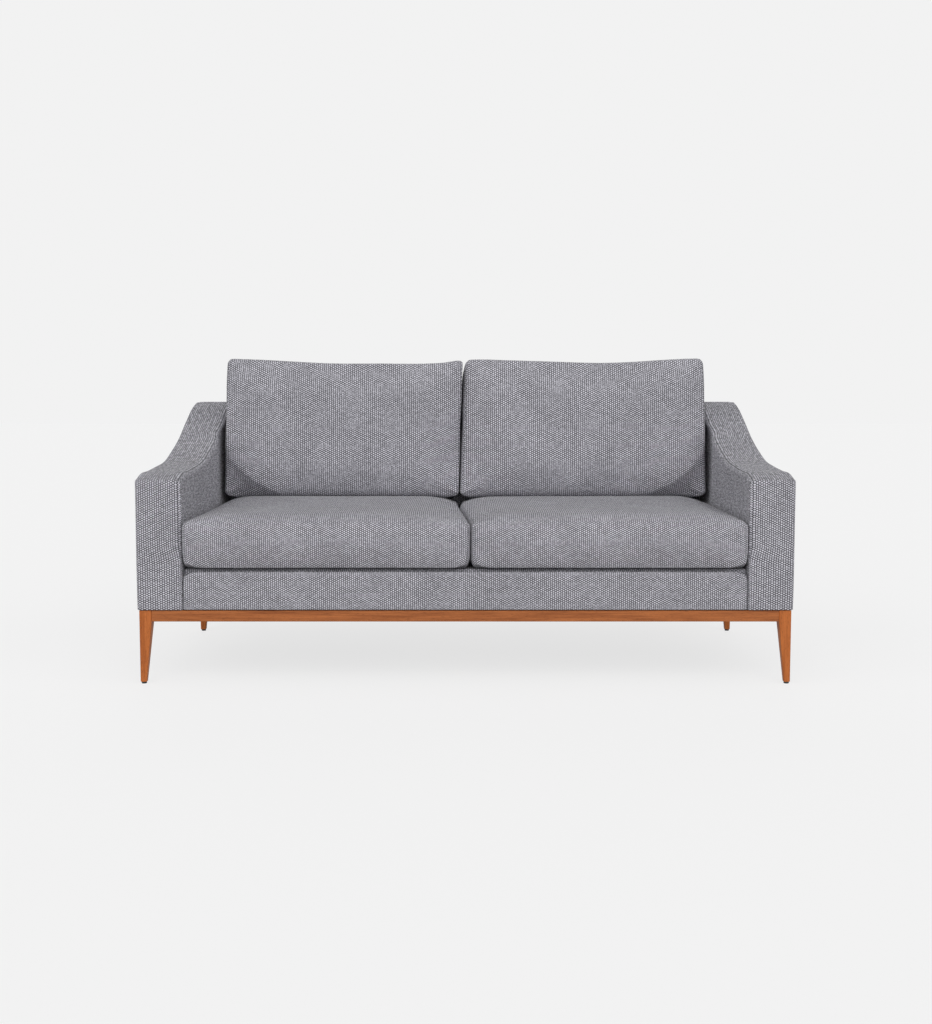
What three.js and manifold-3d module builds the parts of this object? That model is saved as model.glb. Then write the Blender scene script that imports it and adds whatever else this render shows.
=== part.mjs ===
// High back settee: two loose seat cushions and two loose back cushions in an upholstered body whose slim
// arms sweep up to the height of the back, on a low timber plinth with four tapered legs.
// Millimetres. +X is to the right seen from the front, the front faces -Y and +Z is up. The origin is on
// the floor, in the middle of the overall width and depth. Left and right are those seen from the front.
import * as THREE from "three";
import { mergeVertices } from "three/addons/utils/BufferGeometryUtils.js";
import Module from "manifold-3d";

const wasm = await Module();
wasm.setup();

// Overall sizes
const overallWidth = 1880;
const bodyDepth = 888;
const seatOverhang = 12;
const backHeight = 808;
const armFrontHeight = 601;
const armWidth = 130;
const seatDeckHeight = 330;
const backRecline = THREE.MathUtils.degToRad(5);

// Clearances
const seatingGap = 0.3;
const boltClearance = 0.4;
const cutOverrun = 5;

// Plinth and legs
const plinthInset = 4;
const plinthUnderside = 181;
const plinthRailHeight = 32;
const plinthRailThickness = 22;
const plinthEdge = 1.5;
const crossRailWidth = 45;
const legTopWidth = 35.5;
const legFootWidth = 18;
const legEdge = 2.5;
const glideDiameter = 15;
const glideHeight = 6;
const glideEdge = 1.2;
const glideStemDiameter = 4.5;
const glideStemLength = 14;

// Corner blocks and their bolts
const cornerBlockReach = 78;
const boltDiameter = 8;
const boltDepthInLeg = 24;
const boltTail = 4;
const washerDiameter = 20;
const washerThickness = 2;
const nutDiameter = 15;
const nutThickness = 6.5;

// Seat frame, webbing and deck
const dustCoverThickness = 1.5;
const dustCoverInset = 9;
const borderThickness = 30;
const borderRadius = 12;
const borderDrop = 1;
const seatRailThickness = 25;
const webbingThickness = 2.5;
const strapWidth = 56;
const webbingMargin = 6;
const deckThickness = 24;

// Arms
const armPadding = 12;
const armTopRadius = 13;
const armFrontRadius = 11;
const armHemRadius = 6;
const armPostDepth = 46;
const armBaseRailHeight = 60;
const armTopRailThickness = 20;

// Back
const outsideBackThickness = 3;
const outsideBackRadius = 13;
const backPostDepth = 42;
const backPostWidth = 45;
const backRailHeight = 62;
const backPadTopThickness = 14;
const backPadRadius = 13;
const backTopPadding = 14;

// Cushions: a crown swells the main face, and the draws pull the sides and ends in between the corners
const cushionWall = 8;
const coreGap = 0.5;
const seatThickness = 140;
const seatCrown = 34;
const seatRadius = 27;
const seatSideDraw = 4;
const seatFrontDraw = 3;
const seatSideGap = 1;
const seatCentreGap = 2;
const seatRearGap = 9;
const backCushionHeight = 458;
const backCushionThickness = 165;
const backCushionCrown = 26;
const backCushionRadius = 20;
const backCushionSideDraw = 5;
const backCushionTopDraw = 15;
const backCushionSideGap = 9;
const backCushionCentreGap = 2;
const backCushionRearGap = 9;
const backCushionSettle = 0.9;

// Zips of the cushion covers
const zipLength = 600;
const zipSlotHeight = 3.2;
const zipTapeWidth = 20;
const zipTapeHeight = 1.5;
const zipEndMargin = 4;
const backZipHeight = 70;
const sliderLength = 11;
const sliderWidth = 9;
const sliderThickness = 2.6;
const sliderNeckLength = 6;
const sliderNeckDepth = 4;
const pullWidth = 6;
const pullLength = 26;
const pullThickness = 1.4;
const pullBite = 0.4;

// How finely the shapes are divided
const roundSides = 12;
const hexSides = 6;
const edgeSteps = 3;
const armStationCount = 18;
const seatStrapCount = 12;
const crossStrapCount = 5;
const backStrapCount = 11;
const backCrossStrapCount = 4;
const crownPower = 0.6;

// The arm's top line from its front to its rear: shares of its run and of its rise
const armTopShares = [
  [0, 0],
  [0.16, 0.028],
  [0.32, 0.075],
  [0.43, 0.13],
  [0.56, 0.285],
  [0.66, 0.435],
  [0.77, 0.65],
  [0.88, 0.865],
  [0.95, 0.955],
  [1, 1],
];

// Planes that several pieces share
const halfWidth = overallWidth / 2;
const bodyRear = (bodyDepth + seatOverhang) / 2;
const bodyFront = bodyRear - bodyDepth;
const plinthHalfWidth = halfWidth - plinthInset;
const plinthFront = bodyFront + plinthInset;
const plinthRear = bodyRear - plinthInset;
const plinthTop = plinthUnderside + plinthRailHeight;
const bodyBottom = plinthTop + dustCoverThickness;
const innerHalfWidth = halfWidth - armWidth;
const seatHalfWidth = innerHalfWidth - seatingGap;
const armCentre = halfWidth - armWidth / 2;
const seatRailTop = seatDeckHeight - deckThickness - webbingThickness;
const borderRear = bodyFront + borderThickness;
const seatFrameFront = borderRear + seatingGap;
const outsideBackFront = bodyRear - outsideBackThickness;
const armRear = outsideBackFront - seatingGap;
const backFrameFront = armRear - backPostDepth;
const backWebbingFront = backFrameFront - webbingThickness;
const seatFrameRear = backWebbingFront - seatingGap;
const backFrameTop = backHeight - backTopPadding - seatingGap;
const backPadTop = seatFrameRear - backPadTopThickness;
const backPadFoot = backPadTop - (backHeight - seatDeckHeight) * Math.tan(backRecline);

const finishes = {
  upholstery: { color: 0x908f95, roughness: 0.95, metalness: 0 },
  cherryWood: { color: 0xae683e, roughness: 0.45, metalness: 0 },
  frameTimber: { color: 0xc9a877, roughness: 0.8, metalness: 0 },
  foam: { color: 0xe6dcc0, roughness: 1, metalness: 0 },
  webbing: { color: 0x3a3733, roughness: 0.9, metalness: 0 },
  dustCloth: { color: 0x1d1d20, roughness: 1, metalness: 0 },
  glidePlastic: { color: 0x161616, roughness: 0.5, metalness: 0 },
  zincSteel: { color: 0xa9adb0, roughness: 0.35, metalness: 1 },
  zipMetal: { color: 0x55565a, roughness: 0.35, metalness: 1 },
};

// A named piece with a material of its own
function piece(name, finish, geometry) {
  const mesh = new THREE.Mesh(geometry, new THREE.MeshStandardMaterial(finishes[finish]));
  mesh.name = name;
  return mesh;
}

// A plain board between two planes on each axis
function board(name, finish, [x0, x1], [y0, y1], [z0, z1]) {
  const mesh = piece(name, finish, new THREE.BoxGeometry(x1 - x0, y1 - y0, z1 - z0));
  mesh.position.set((x0 + x1) / 2, (y0 + y1) / 2, (z0 + z1) / 2);
  return mesh;
}

// A board whose edges are eased by a small radius
function easedBoard(name, finish, [x0, x1], [y0, y1], [z0, z1], radius, arcSteps) {
  const size = [x1 - x0, y1 - y0, z1 - z0];
  const mesh = piece(name, finish, roundedBlock(size, radius, [1, 1, 1], arcSteps));
  mesh.position.set((x0 + x1) / 2, (y0 + y1) / 2, (z0 + z1) / 2);
  return mesh;
}

// Geometry to solid and back, for cutting and joining
function solidOf(geometry) {
  const bare = geometry.clone();
  bare.deleteAttribute("normal");
  bare.deleteAttribute("uv");
  const merged = mergeVertices(bare);
  return new wasm.Manifold(
    new wasm.Mesh({
      numProp: 3,
      vertProperties: merged.attributes.position.array,
      triVerts: new Uint32Array(merged.index.array),
    }),
  );
}

function geometryOf(solid) {
  const mesh = solid.getMesh();
  const geometry = new THREE.BufferGeometry();
  geometry.setAttribute("position", new THREE.BufferAttribute(mesh.vertProperties, mesh.numProp));
  geometry.setIndex(new THREE.BufferAttribute(mesh.triVerts, 1));
  geometry.computeVertexNormals();
  return geometry;
}

function fuse(first, ...others) {
  return geometryOf(others.reduce((whole, other) => whole.add(solidOf(other)), solidOf(first)));
}

function cut(from, ...tools) {
  return geometryOf(tools.reduce((rest, tool) => rest.subtract(solidOf(tool)), solidOf(from)));
}

// Grid lines across a rounded block: even steps on the flat, equal angles round each edge
function gridLines(half, radius, flats, arcSteps) {
  const core = half - radius;
  const edge = [];
  for (let k = 1; k <= arcSteps; k++) {
    edge.push(core + radius * Math.tan((k / arcSteps) * (Math.PI / 4)));
  }
  const lines = edge.map((line) => -line).reverse();
  for (let k = 0; k <= flats; k++) lines.push(core * ((2 * k) / flats - 1));
  return lines.concat(edge);
}

// A block with all its edges rounded, centred on the origin
function roundedBlock(size, radius, flats, arcSteps) {
  const counts = flats.map((count) => count + 2 * arcSteps);
  const lines = size.map((length, axis) => gridLines(length / 2, radius, flats[axis], arcSteps));
  const geometry = new THREE.BoxGeometry(1, 1, 1, ...counts);
  const position = geometry.attributes.position;
  const coreHigh = new THREE.Vector3(...size).divideScalar(2).subScalar(radius);
  const coreLow = coreHigh.clone().negate();
  const point = new THREE.Vector3();
  const core = new THREE.Vector3();
  for (let i = 0; i < position.count; i++) {
    point.fromBufferAttribute(position, i);
    const steps = point.toArray().map((value, axis) => Math.round((value + 1 / 2) * counts[axis]));
    point.set(lines[0][steps[0]], lines[1][steps[1]], lines[2][steps[2]]);
    core.copy(point).clamp(coreLow, coreHigh);
    point.sub(core).setLength(radius).add(core);
    position.setXYZ(i, point.x, point.y, point.z);
  }
  return geometry;
}

// A closed skin over rings of equal point counts, capped at both ends
function loft(rings) {
  const count = rings[0].length;
  const last = (rings.length - 1) * count;
  const index = [];
  for (let base = 0; base < last; base += count) {
    for (let k = 0; k < count; k++) {
      const next = (k + 1) % count;
      index.push(base + k, base + next, base + count + next);
      index.push(base + k, base + count + next, base + count + k);
    }
  }
  for (let k = 1; k < count - 1; k++) {
    index.push(0, k + 1, k);
    index.push(last, last + k, last + k + 1);
  }
  const geometry = new THREE.BufferGeometry().setFromPoints(rings.flat());
  geometry.setIndex(index);
  geometry.computeVertexNormals();
  return geometry;
}

// A rectangle with rounded corners, anticlockwise from the corner at high x and low y
function roundedRectangle(low, high, radii) {
  const corners = [
    [high.x, low.y],
    [high.x, high.y],
    [low.x, high.y],
    [low.x, low.y],
  ];
  const points = [];
  corners.forEach(([x, y], corner) => {
    const radius = radii[corner];
    const centreX = x === high.x ? x - radius : x + radius;
    const centreY = y === high.y ? y - radius : y + radius;
    for (let k = 0; k <= edgeSteps; k++) {
      const angle = (corner - 1 + k / edgeSteps) * (Math.PI / 2);
      points.push(new THREE.Vector2(centreX + radius * Math.cos(angle), centreY + radius * Math.sin(angle)));
    }
  });
  return points;
}

// A prism of an outline in the XY plane
function prism(points, depth) {
  return new THREE.ExtrudeGeometry(new THREE.Shape(points), { depth, bevelEnabled: false });
}

// Turns a shape drawn in Y and Z, and extruded along its own depth, so that the depth lies along X
const profileToSide = new THREE.Matrix4().makeBasis(
  new THREE.Vector3(0, 1, 0),
  new THREE.Vector3(0, 0, 1),
  new THREE.Vector3(1, 0, 0),
);

// Plinth: four rails between the legs and one across the middle
function plinthRails() {
  const height = [plinthUnderside, plinthTop];
  const endX = plinthHalfWidth - legTopWidth - seatingGap;
  const endFront = plinthFront + legTopWidth + seatingGap;
  const endRear = plinthRear - legTopWidth - seatingGap;
  const innerFront = plinthFront + plinthRailThickness;
  const innerRear = plinthRear - plinthRailThickness;
  const innerX = plinthHalfWidth - plinthRailThickness;
  const eased = (name, x, y) => easedBoard(name, "cherryWood", x, y, height, plinthEdge, 1);
  return [
    eased("front_plinth_rail", [-endX, endX], [plinthFront, innerFront]),
    eased("rear_plinth_rail", [-endX, endX], [innerRear, plinthRear]),
    eased("left_plinth_rail", [-plinthHalfWidth, -innerX], [endFront, endRear]),
    eased("right_plinth_rail", [innerX, plinthHalfWidth], [endFront, endRear]),
    eased(
      "plinth_cross_rail",
      [-crossRailWidth / 2, crossRailWidth / 2],
      [innerFront + seatingGap, innerRear - seatingGap],
    ),
  ];
}

// A leg: upright on its outer faces, tapered on its inner ones from the plinth down to the foot
function legGeometry(towardsX, towardsY, outerX, outerY) {
  const ringAt = (width, z) => {
    const centreX = outerX + (towardsX * width) / 2;
    const centreY = outerY + (towardsY * width) / 2;
    const low = new THREE.Vector2(centreX - width / 2, centreY - width / 2);
    const high = new THREE.Vector2(centreX + width / 2, centreY + width / 2);
    const outline = roundedRectangle(low, high, [legEdge, legEdge, legEdge, legEdge]);
    return outline.map((point) => new THREE.Vector3(point.x, point.y, z));
  };
  return loft([
    ringAt(legFootWidth, glideHeight),
    ringAt(legTopWidth, plinthUnderside),
    ringAt(legTopWidth, plinthTop),
  ]);
}

// A cylinder that starts at a point and runs the given length along a direction
function rod(radius, length, sides, start, direction) {
  const geometry = new THREE.CylinderGeometry(radius, radius, length, sides);
  geometry.translate(0, length / 2, 0);
  const turn = new THREE.Quaternion().setFromUnitVectors(new THREE.Vector3(0, 1, 0), direction);
  return geometry.applyQuaternion(turn).translate(start.x, start.y, start.z);
}

// A glide: a round foot with a stem that goes up into the leg
function glideGeometry() {
  const foot = glideDiameter / 2;
  const stem = glideStemDiameter / 2;
  const profile = [
    [0, 0],
    [foot - glideEdge, 0],
    [foot, glideEdge],
    [foot, glideHeight - glideEdge],
    [foot - glideEdge, glideHeight],
    [stem, glideHeight],
    [stem, glideHeight + glideStemLength],
    [0, glideHeight + glideStemLength],
  ].map(([radius, height]) => new THREE.Vector2(radius, height));
  return new THREE.LatheGeometry(profile, roundSides).rotateX(Math.PI / 2);
}

// One corner of the base: leg, glide, corner block and the bolt that draws the leg into the corner
function baseCorner(name, sideX, sideY) {
  const outerX = sideX * plinthHalfWidth;
  const outerY = sideY < 0 ? plinthFront : plinthRear;
  const inX = -sideX;
  const inY = -sideY;
  const place = (along, across) => new THREE.Vector2(outerX + inX * along, outerY + inY * across);
  const inward = new THREE.Vector3(inX, inY, 0).normalize();
  const railFace = plinthRailThickness + seatingGap;
  const legFace = legTopWidth + seatingGap;
  const reach = railFace + cornerBlockReach;
  const boltHeight = plinthUnderside + plinthRailHeight / 2;
  const tip = place(legTopWidth, legTopWidth);
  const boltStart = new THREE.Vector3(tip.x, tip.y, boltHeight).addScaledVector(inward, -boltDepthInLeg);
  const faceMiddle = place((railFace + reach) / 2, (railFace + reach) / 2);
  const faceDistance = boltStart.distanceTo(new THREE.Vector3(faceMiddle.x, faceMiddle.y, boltHeight));
  const washerDistance = faceDistance + seatingGap;
  const nutDistance = washerDistance + washerThickness;
  const along = (distance) => boltStart.clone().addScaledVector(inward, distance);
  const drill = rod(
    boltDiameter / 2 + boltClearance,
    faceDistance + seatingGap + cutOverrun,
    roundSides,
    along(-seatingGap),
    inward,
  );
  const footCentre = place(legFootWidth / 2, legFootWidth / 2);
  const stemHole = rod(
    glideStemDiameter / 2 + boltClearance,
    glideStemLength + seatingGap + cutOverrun,
    roundSides,
    new THREE.Vector3(footCentre.x, footCentre.y, glideHeight - cutOverrun),
    new THREE.Vector3(0, 0, 1),
  );
  const leg = cut(legGeometry(inX, inY, outerX, outerY), drill, stemHole);
  const blockOutline = [
    place(legFace, railFace),
    place(reach, railFace),
    place(railFace, reach),
    place(railFace, legFace),
    place(legFace, legFace),
  ];
  const block = prism(blockOutline, plinthRailHeight).translate(0, 0, plinthUnderside);
  const shank = rod(boltDiameter / 2, nutDistance + nutThickness + boltTail, roundSides, boltStart, inward);
  const washer = rod(washerDiameter / 2, washerThickness, roundSides, along(washerDistance), inward);
  const nut = rod(nutDiameter / 2, nutThickness, hexSides, along(nutDistance), inward);
  const glide = piece(name + "_glide", "glidePlastic", glideGeometry());
  glide.position.set(footCentre.x, footCentre.y, 0);
  return [
    piece(name + "_leg", "cherryWood", leg),
    glide,
    piece(name + "_corner_block", "frameTimber", cut(block, drill)),
    piece(name + "_corner_bolt", "zincSteel", fuse(shank, washer, nut)),
  ];
}

// A net of webbing in the XY plane: evenly spaced straps in both directions, stitched where they cross
function strapNet(width, height, columns, rows) {
  const pitchX = (width - strapWidth) / (columns - 1);
  const pitchY = (height - strapWidth) / (rows - 1);
  const straps = [];
  for (let column = 0; column < columns; column++) {
    const x = (strapWidth - width) / 2 + column * pitchX;
    straps.push(new THREE.BoxGeometry(strapWidth, height, webbingThickness).translate(x, 0, 0));
  }
  for (let row = 0; row < rows; row++) {
    const y = (strapWidth - height) / 2 + row * pitchY;
    straps.push(new THREE.BoxGeometry(width, strapWidth, webbingThickness).translate(0, y, 0));
  }
  return fuse(...straps).translate(0, 0, webbingThickness / 2);
}

// Seat frame: dust cover, rails, webbing, the padded deck and the border below the cushions
function seatFrame() {
  const railHeight = [bodyBottom, seatRailTop];
  const frontRailRear = seatFrameFront + seatRailThickness;
  const rearRailFront = seatFrameRear - seatRailThickness;
  const fullWidth = [-seatHalfWidth, seatHalfWidth];
  const between = [frontRailRear, rearRailFront];
  const sideInner = seatHalfWidth - seatRailThickness;
  const timber = (name, x, y) => board(name, "frameTimber", x, y, railHeight);
  const dustHalfWidth = plinthHalfWidth - dustCoverInset;
  const webbingFront = seatFrameFront + webbingMargin;
  const webbingRear = seatFrameRear - webbingMargin;
  const webbingWidth = (seatHalfWidth - webbingMargin) * 2;
  const net = strapNet(webbingWidth, webbingRear - webbingFront, seatStrapCount, crossStrapCount);
  const webbing = piece("seat_webbing", "webbing", net);
  webbing.position.set(0, (webbingFront + webbingRear) / 2, seatRailTop);
  return [
    board(
      "dust_cover",
      "dustCloth",
      [-dustHalfWidth, dustHalfWidth],
      [plinthFront + dustCoverInset, plinthRear - dustCoverInset],
      [plinthTop, bodyBottom],
    ),
    timber("seat_front_rail", fullWidth, [seatFrameFront, frontRailRear]),
    timber("seat_rear_rail", fullWidth, [rearRailFront, seatFrameRear]),
    timber("seat_left_rail", [-seatHalfWidth, -sideInner], between),
    timber("seat_right_rail", [sideInner, seatHalfWidth], between),
    timber("seat_centre_rail", [-seatRailThickness / 2, seatRailThickness / 2], between),
    webbing,
    board(
      "seat_deck",
      "upholstery",
      fullWidth,
      [seatFrameFront, seatFrameRear],
      [seatRailTop + webbingThickness, seatDeckHeight],
    ),
    easedBoard(
      "front_border",
      "upholstery",
      fullWidth,
      [bodyFront, borderRear],
      [bodyBottom, seatDeckHeight - borderDrop],
      borderRadius,
      2,
    ),
  ];
}

// The arm's top line as points: distance behind the front of the body, and height
const armRun = armRear - bodyFront;
const armTopLine = new THREE.SplineCurve(
  armTopShares.map(
    ([run, rise]) => new THREE.Vector2(run * armRun, armFrontHeight + rise * (backHeight - armFrontHeight)),
  ),
).getPoints(armStationCount);

function armTopAt(run) {
  const next = armTopLine.findIndex((point) => point.x >= run);
  if (next < 0) return armTopLine[armTopLine.length - 1].y;
  if (next === 0) return armTopLine[0].y;
  const from = armTopLine[next - 1];
  const to = armTopLine[next];
  return THREE.MathUtils.mapLinear(run, from.x, to.x, from.y, to.y);
}

// The places along the arm where its outline turns, between two distances behind the front
function armStations(from, to) {
  const between = armTopLine.map((point) => point.x).filter((run) => run > from && run < to);
  return [from, ...between, to];
}

// A ring across the arm: a rectangle with rounded corners, or a plain one where the radii are zero
function armRing(run, half, bottom, top, topRadius, bottomRadius) {
  const low = new THREE.Vector2(bottom, -half);
  const high = new THREE.Vector2(top, half);
  const outline =
    topRadius > 0
      ? roundedRectangle(low, high, [topRadius, topRadius, bottomRadius, bottomRadius])
      : [
          new THREE.Vector2(top, -half),
          new THREE.Vector2(top, half),
          new THREE.Vector2(bottom, half),
          new THREE.Vector2(bottom, -half),
        ];
  return outline.map((point) => new THREE.Vector3(point.y, bodyFront + run, point.x));
}

// The padded cover of an arm: a shell, open below and at the rear, where the outside back closes it
function armCoverGeometry() {
  const rings = [];
  for (let k = 0; k <= edgeSteps; k++) {
    const angle = (k / edgeSteps) * (Math.PI / 2);
    const run = armFrontRadius * (1 - Math.cos(angle));
    const inset = armFrontRadius * (1 - Math.sin(angle));
    const topRadius = Math.max(armTopRadius - inset, armTopRadius - armFrontRadius);
    const hemRadius = armHemRadius * (1 - inset / (armFrontRadius + armHemRadius));
    rings.push(
      armRing(run, armWidth / 2 - inset, bodyBottom, armTopAt(run) - inset, topRadius, hemRadius),
    );
  }
  for (const run of armStations(armFrontRadius, armRun).slice(1)) {
    rings.push(armRing(run, armWidth / 2, bodyBottom, armTopAt(run), armTopRadius, armHemRadius));
  }
  const cavity = armStations(armPadding, armRun + cutOverrun).map((run) =>
    armRing(run, armWidth / 2 - armPadding, bodyBottom - cutOverrun, armTopAt(run) - armPadding, 0, 0),
  );
  return cut(loft(rings), loft(cavity));
}

// Arms: a frame of boards in a padded cover
function arm(name, side) {
  const half = armWidth / 2 - armPadding - seatingGap;
  const railTop = (run) => armTopAt(run) - armPadding - seatingGap;
  const railBottom = (run) => railTop(run) - armTopRailThickness;
  const postTop = (run) => railBottom(run) - seatingGap;
  const frameFront = armPadding + seatingGap;
  const boards = (from, to, bottom, top) =>
    loft(armStations(from, to).map((run) => armRing(run, half, bottom(run), top(run), 0, 0)));
  const floor = () => bodyBottom;
  const baseTop = () => bodyBottom + armBaseRailHeight;
  const baseFront = frameFront + armPostDepth;
  const baseRear = armRun - armPostDepth;
  const pieces = [
    piece(name + "_front_post", "frameTimber", boards(frameFront, baseFront, floor, postTop)),
    piece(name + "_rear_post", "frameTimber", boards(baseRear, armRun, floor, postTop)),
    piece(
      name + "_base_rail",
      "frameTimber",
      loft([baseFront, baseRear].map((run) => armRing(run, half, floor(), baseTop(), 0, 0))),
    ),
    piece(name + "_top_rail", "frameTimber", boards(frameFront, armRun, railBottom, railTop)),
    piece(name + "_cover", "upholstery", armCoverGeometry()),
  ];
  pieces.forEach((mesh) => mesh.position.set(side * armCentre, 0, 0));
  return pieces;
}

// The padded inside back: leans back from the deck, and laps over the top rail
function insideBackGeometry() {
  const foot = seatDeckHeight + seatingGap;
  const outline = new THREE.Path();
  outline.moveTo(backPadFoot, foot);
  outline.lineTo(backPadTop, backHeight - backPadRadius);
  outline.absarc(
    backPadTop + backPadRadius,
    backHeight - backPadRadius,
    backPadRadius,
    Math.PI,
    Math.PI / 2,
    true,
  );
  outline.lineTo(armRear, backHeight);
  outline.lineTo(armRear, backHeight - backTopPadding);
  outline.lineTo(seatFrameRear, backHeight - backTopPadding);
  outline.lineTo(seatFrameRear, foot);
  const profile = prism(outline.getPoints(edgeSteps), seatHalfWidth * 2);
  return profile.applyMatrix4(profileToSide).translate(-seatHalfWidth, 0, 0);
}

// The outside back: one panel over the back and the rears of both arms
function outsideBackGeometry() {
  const low = new THREE.Vector2(-halfWidth, bodyBottom);
  const high = new THREE.Vector2(halfWidth, backHeight);
  const radii = [armHemRadius, outsideBackRadius, outsideBackRadius, armHemRadius];
  const panel = prism(roundedRectangle(low, high, radii), outsideBackThickness);
  return panel.rotateX(Math.PI / 2).translate(0, bodyRear, 0);
}

// Back: a frame of posts and rails with webbing on it, between the inside and the outside back
function back() {
  const depth = [backFrameFront, armRear];
  const postInner = seatHalfWidth - backPostWidth;
  const railWidth = [-postInner, postInner];
  const bottomRailTop = bodyBottom + backRailHeight;
  const topRailBottom = backFrameTop - backRailHeight;
  const timber = (name, x, z) => board(name, "frameTimber", x, depth, z);
  const fullHeight = [bodyBottom, backFrameTop];
  const webbingWidth = (seatHalfWidth - webbingMargin) * 2;
  const webbingFoot = bodyBottom + webbingMargin;
  const webbingHead = backFrameTop - webbingMargin;
  const net = strapNet(webbingWidth, webbingHead - webbingFoot, backStrapCount, backCrossStrapCount);
  const webbing = piece("back_webbing", "webbing", net.rotateX(Math.PI / 2));
  webbing.position.set(0, backFrameFront, (webbingFoot + webbingHead) / 2);
  return [
    timber("back_top_rail", railWidth, [topRailBottom, backFrameTop]),
    timber("back_bottom_rail", railWidth, [bodyBottom, bottomRailTop]),
    timber("back_left_post", [-seatHalfWidth, -postInner], fullHeight),
    timber("back_right_post", [postInner, seatHalfWidth], fullHeight),
    timber("back_centre_post", [-backPostWidth / 2, backPostWidth / 2], [bottomRailTop, topRailBottom]),
    webbing,
    piece("inside_back_cover", "upholstery", insideBackGeometry()),
    piece("outside_back_cover", "upholstery", outsideBackGeometry()),
  ];
}

// How far a cushion's main face swells at a share of the way from its middle to its sides and ends
function crownAt(acrossShare, alongShare) {
  const across = Math.max(1 - acrossShare * acrossShare, 0);
  const along = Math.max(1 - alongShare * alongShare, 0);
  return (across * along) ** crownPower;
}

// The form of a cushion lying flat: crowned above, flat below, drawn in at its sides and ends.
// The inset leaves that much off every side, for the hollow of the cover and for the core.
function cushionForm(cushion, inset, flats, arcSteps) {
  const size = [cushion.width, cushion.length, cushion.thickness].map((length) => length - inset * 2);
  const geometry = roundedBlock(size, cushion.radius - inset, flats, arcSteps);
  const position = geometry.attributes.position;
  for (let i = 0; i < position.count; i++) {
    const x = position.getX(i);
    const y = position.getY(i);
    const z = position.getZ(i);
    const across = x / (size[0] / 2);
    const along = y / (size[1] / 2);
    const up = z / (size[2] / 2);
    const endDraw = along < 0 ? cushion.nearDraw : cushion.farDraw;
    position.setXYZ(
      i,
      x - across * cushion.sideDraw * (1 - along * along),
      y - along * endDraw * (1 - across * across),
      z + (cushion.crown * crownAt(across, along) * (1 + up)) / 2,
    );
  }
  return geometry;
}

// A block in a zip's own frame: X along the zip, Y out of the cushion, Z across the tape
function zipBlock(length, [y0, y1], [z0, z1]) {
  return new THREE.BoxGeometry(length, y1 - y0, z1 - z0).translate(0, (y0 + y1) / 2, (z0 + z1) / 2);
}

// The slider of a zip, closed at the left end of its slot: body, neck through the slot and pull tab
function sliderGeometry() {
  const bodyFoot = zipTapeHeight + seatingGap;
  const bodyHead = bodyFoot + sliderThickness;
  const neckHalf = zipSlotHeight / 2 - seatingGap;
  const body = zipBlock(sliderLength, [bodyFoot, bodyHead], [-sliderWidth / 2, sliderWidth / 2]);
  const neck = zipBlock(sliderNeckLength, [-sliderNeckDepth, bodyFoot + pullBite], [-neckHalf, neckHalf]);
  const pull = zipBlock(
    pullWidth,
    [bodyHead - pullBite, bodyHead - pullBite + pullThickness],
    [-pullLength, sliderWidth / 4],
  );
  return fuse(body, neck, pull);
}

// A cushion in its own frame: a cover with a zip, its core, and the zip's slider
function cushionPieces(name, cushion, zipPlace) {
  const skin = cushionForm(cushion, 0, [6, 6, 1], 2);
  const hollow = cushionForm(cushion, cushionWall, [3, 3, 1], 1);
  const core = cushionForm(cushion, cushionWall + coreGap, [3, 3, 1], 1);
  const tape = zipBlock(
    zipLength + zipTapeWidth,
    [-cushionWall / 2, zipTapeHeight],
    [-zipTapeWidth / 2, zipTapeWidth / 2],
  );
  const slot = zipBlock(
    zipLength,
    [-cushionWall - cutOverrun, zipTapeHeight + cutOverrun],
    [-zipSlotHeight / 2, zipSlotHeight / 2],
  );
  const cover = cut(fuse(skin, tape.applyMatrix4(zipPlace)), hollow, slot.applyMatrix4(zipPlace));
  const slider = sliderGeometry().translate((sliderNeckLength - zipLength) / 2 + zipEndMargin, 0, 0);
  return [
    piece(name + "_cover", "upholstery", cover),
    piece(name + "_core", "foam", core),
    piece(name + "_zip_slider", "zipMetal", slider.applyMatrix4(zipPlace)),
  ];
}

// Seat cushions: side by side on the deck between the arms, standing a little proud of the front
const seatRear = backPadFoot - seatRearGap;
const seatFront = bodyFront - seatOverhang;
const seatCushion = {
  width: innerHalfWidth - seatSideGap - seatCentreGap / 2,
  length: seatRear - seatFront,
  thickness: seatThickness,
  radius: seatRadius,
  crown: seatCrown,
  sideDraw: seatSideDraw,
  nearDraw: seatFrontDraw,
  farDraw: 0,
};

function seatCushions(name, side) {
  const zipPlace = new THREE.Matrix4().makeTranslation(0, seatCushion.length / 2, 0);
  const group = new THREE.Group();
  group.add(...cushionPieces(name, seatCushion, zipPlace));
  group.position.set(
    (side * (innerHalfWidth - seatSideGap + seatCentreGap / 2)) / 2,
    (seatFront + seatRear) / 2,
    seatDeckHeight + seatingGap + seatThickness / 2,
  );
  return group;
}

// The height of a seat cushion's crown along its middle
function seatTopAt(y) {
  const along = (y - (seatFront + seatRear) / 2) / (seatCushion.length / 2);
  return seatDeckHeight + seatingGap + seatThickness + seatCrown * crownAt(0, along);
}

// Back cushions: stand on the seat cushions and lean on the inside back, at its own slope
const backCushion = {
  width: innerHalfWidth - backCushionSideGap - backCushionCentreGap / 2,
  length: backCushionHeight,
  thickness: backCushionThickness,
  radius: backCushionRadius,
  crown: backCushionCrown,
  sideDraw: backCushionSideDraw,
  nearDraw: 0,
  farDraw: backCushionTopDraw,
};

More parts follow.
